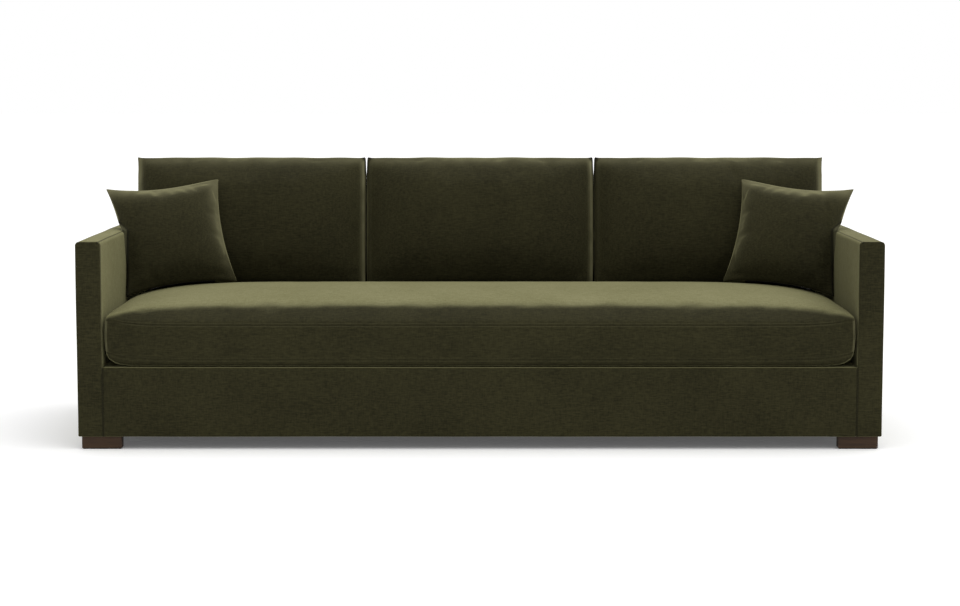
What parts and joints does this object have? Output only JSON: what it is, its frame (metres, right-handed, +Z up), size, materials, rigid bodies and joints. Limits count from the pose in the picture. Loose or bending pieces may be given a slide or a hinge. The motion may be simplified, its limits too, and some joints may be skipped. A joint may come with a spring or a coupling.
{
  "type": "tuxedo sofa",
  "caption": "Tuxedo sofa with slim square arms as high as its back, a bench seat cushion, loose back cushions, corner throw pillows and low block feet.",
  "frame": {"origin": "on the floor, under the middle of the sofa's bounding box", "axes": "+X to the right as seen from the front, +Y from the front to the back, +Z up"},
  "size_m": [2.438, 0.965, 0.857],
  "materials": {
    "upholstery": "matte",
    "frame_timber": "matte",
    "foot_timber": "satin",
    "steel": "satin",
    "padding": "matte",
    "webbing": "matte",
    "dust_cloth": "matte",
    "felt": "matte",
    "board": "matte",
    "zipper": "matte"
  },
  "bodies": {
    "sofa_frame": {"front_rail": "frame_timber", "back_rail": "frame_timber", "side_rails": "frame_timber", "spring_rail": "frame_timber", "seat_stretchers": "frame_timber", "corner_blocks": "frame_timber", "left_arm_posts": "frame_timber", "left_arm_rails": "frame_timber", "left_arm_board": "board", "left_arm_padding": "padding", "left_arm_cover": "upholstery", "right_arm_posts": "frame_timber", "right_arm_rails": "frame_timber", "right_arm_board": "board", "right_arm_padding": "padding", "right_arm_cover": "upholstery", "back_uprights": "frame_timber", "back_top_rail": "frame_timber", "back_webbing": "webbing", "back_padding": "padding", "inside_back_cover": "upholstery", "outside_back_panel": "upholstery", "seat_springs": "steel", "spring_clips": "steel", "spring_tie_wires": "steel", "spring_insulator": "felt", "deck_foam": "padding", "deck_cover": "upholstery", "front_edge_padding": "padding", "front_rail_cover": "upholstery", "dust_cover": "dust_cloth", "front_left_foot": "foot_timber", "front_right_foot": "foot_timber", "back_left_foot": "foot_timber", "back_right_foot": "foot_timber", "centre_foot": "foot_timber", "foot_felts": "felt", "foot_screws": "steel", "frame_bolts": "steel"},
    "seat_cushion": {"seat_cushion_cover": "upholstery", "seat_cushion_foam": "padding", "seat_cushion_zipper": "zipper"},
    "left_back_cushion": {"left_back_cushion_cover": "upholstery", "left_back_cushion_filling": "padding", "left_back_cushion_zipper": "zipper"},
    "middle_back_cushion": {"middle_back_cushion_cover": "upholstery", "middle_back_cushion_filling": "padding", "middle_back_cushion_zipper": "zipper"},
    "right_back_cushion": {"right_back_cushion_cover": "upholstery", "right_back_cushion_filling": "padding", "right_back_cushion_zipper": "zipper"},
    "left_throw_pillow": {"left_pillow_cover": "upholstery", "left_pillow_insert": "padding", "left_pillow_zipper": "zipper"},
    "right_throw_pillow": {"right_pillow_cover": "upholstery", "right_pillow_insert": "padding", "right_pillow_zipper": "zipper"}
  },
  "joints": [
    {"name": "seat_cushion_slide", "type": "slide", "parent": "sofa_frame", "child": "seat_cushion", "axis": [0, -1, 0], "range_m": [0, 0.25]},
    {"name": "left_back_cushion_lift", "type": "slide", "parent": "sofa_frame", "child": "left_back_cushion", "axis": [0, 0.1478, 0.989], "range_m": [0, 0.25]},
    {"name": "middle_back_cushion_lift", "type": "slide", "parent": "sofa_frame", "child": "middle_back_cushion", "axis": [0, 0.1478, 0.989], "range_m": [0, 0.25]},
    {"name": "right_back_cushion_lift", "type": "slide", "parent": "sofa_frame", "child": "right_back_cushion", "axis": [0, 0.1478, 0.989], "range_m": [0, 0.25]},
    {"name": "left_throw_pillow_lift", "type": "slide", "parent": "sofa_frame", "child": "left_throw_pillow", "axis": [0.3505, -0.4506, 0.8211], "range_m": [0, 0.3]},
    {"name": "right_throw_pillow_lift", "type": "slide", "parent": "sofa_frame", "child": "right_throw_pillow", "axis": [-0.3505, -0.4506, 0.8211], "range_m": [0, 0.3]}
  ]
}
